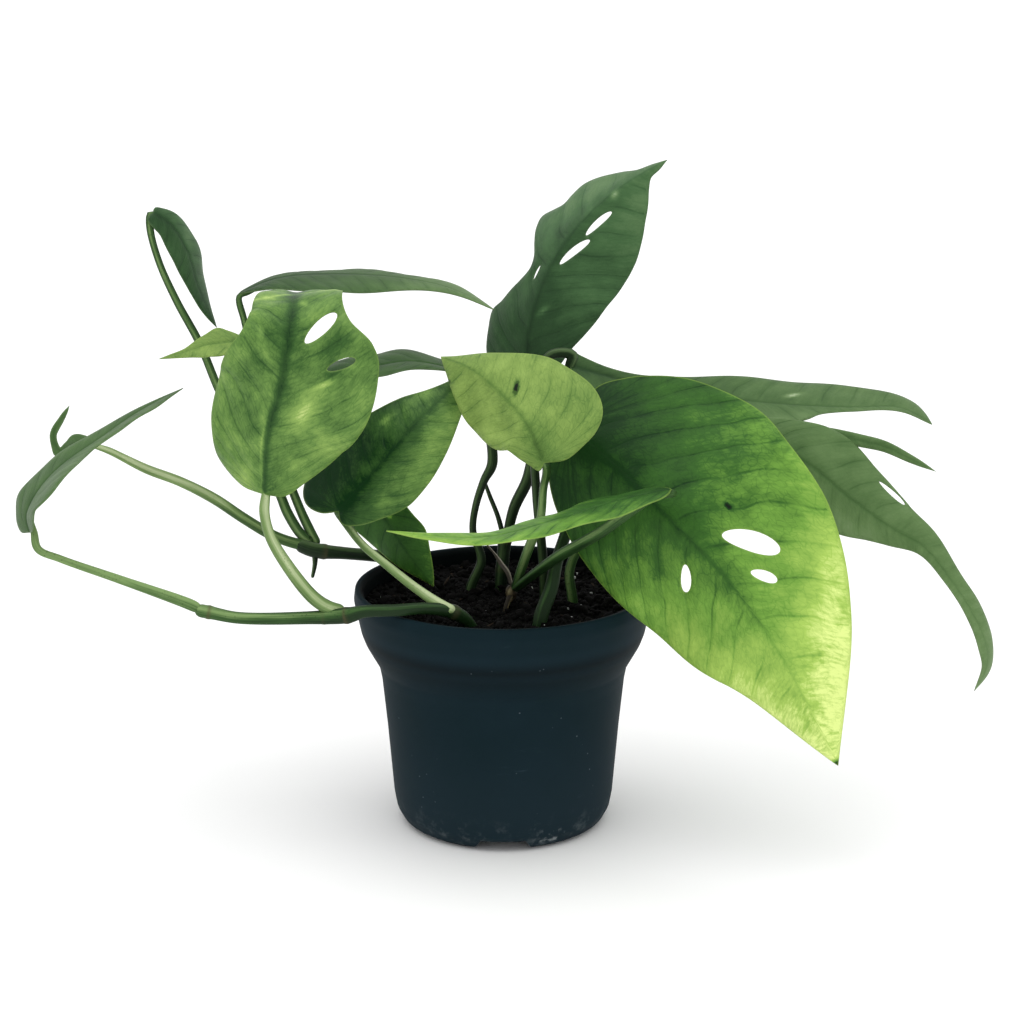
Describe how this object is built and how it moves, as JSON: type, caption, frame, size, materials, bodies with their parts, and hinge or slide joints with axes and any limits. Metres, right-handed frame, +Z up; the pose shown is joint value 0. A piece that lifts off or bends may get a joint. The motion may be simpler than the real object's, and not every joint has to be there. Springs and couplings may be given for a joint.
{
  "type": "potted cebu blue pothos",
  "caption": "Young potted aroid vine: creeping stems, upright petioles and split, windowed, lime-splashed green leaves in a black nursery pot filled with potting mix.",
  "frame": {"origin": "centre of the pot's foot, on the surface that it stands on", "axes": "+Z up along the pot's axis, +X along the plant's widest spread, towards the side where the split leaf droops, and -Y towards the side that the big bright leaf faces"},
  "size_m": [0.3475, 0.1446, 0.2342],
  "materials": {
    "pot": "matt, lightly scuffed",
    "soil": "rough, crumbly",
    "stem_green": "satin",
    "stem_pale": "satin",
    "stem_dark": "satin",
    "stem_brown": "matt",
    "sheath": "dry, papery",
    "leaf_bright": "satin",
    "leaf_variegated": "satin",
    "leaf_lime": "satin",
    "leaf_dark": "satin",
    "leaf_mid": "satin"
  },
  "bodies": {
    "root": {"pot": "pot", "soil": "soil", "vine_front_left": "stem_green", "vine_back_left": "stem_dark", "vine_centre": "stem_brown", "vine_back": "stem_dark", "sheath_dry": "sheath", "petiole_front_right": "stem_green", "leaf_front_right": "leaf_bright", "petiole_front_left": "stem_pale", "leaf_front_left": "leaf_variegated", "petiole_front_middle": "stem_pale", "leaf_front_middle": "leaf_lime", "petiole_inner_left": "stem_pale", "leaf_inner_left": "leaf_variegated", "petiole_hanging_inner": "stem_dark", "leaf_hanging_inner": "leaf_dark", "petiole_narrow_front": "stem_dark", "leaf_narrow_front": "leaf_bright", "petiole_top_right": "stem_dark", "leaf_top_right": "leaf_dark", "petiole_right": "stem_dark", "leaf_right": "leaf_mid", "petiole_right_drooping": "stem_green", "leaf_right_drooping": "leaf_dark", "petiole_far_left": "stem_green", "leaf_far_left": "leaf_mid", "petiole_far_left_back": "stem_pale", "leaf_far_left_back": "leaf_mid", "petiole_upper_left": "stem_green", "leaf_upper_left": "leaf_mid", "petiole_young_left": "stem_pale", "leaf_young_left": "leaf_lime", "petiole_long_back": "stem_green", "leaf_long_back": "leaf_mid", "petiole_back_middle": "stem_dark", "leaf_back_middle": "leaf_mid"}
  },
  "joints": []
}
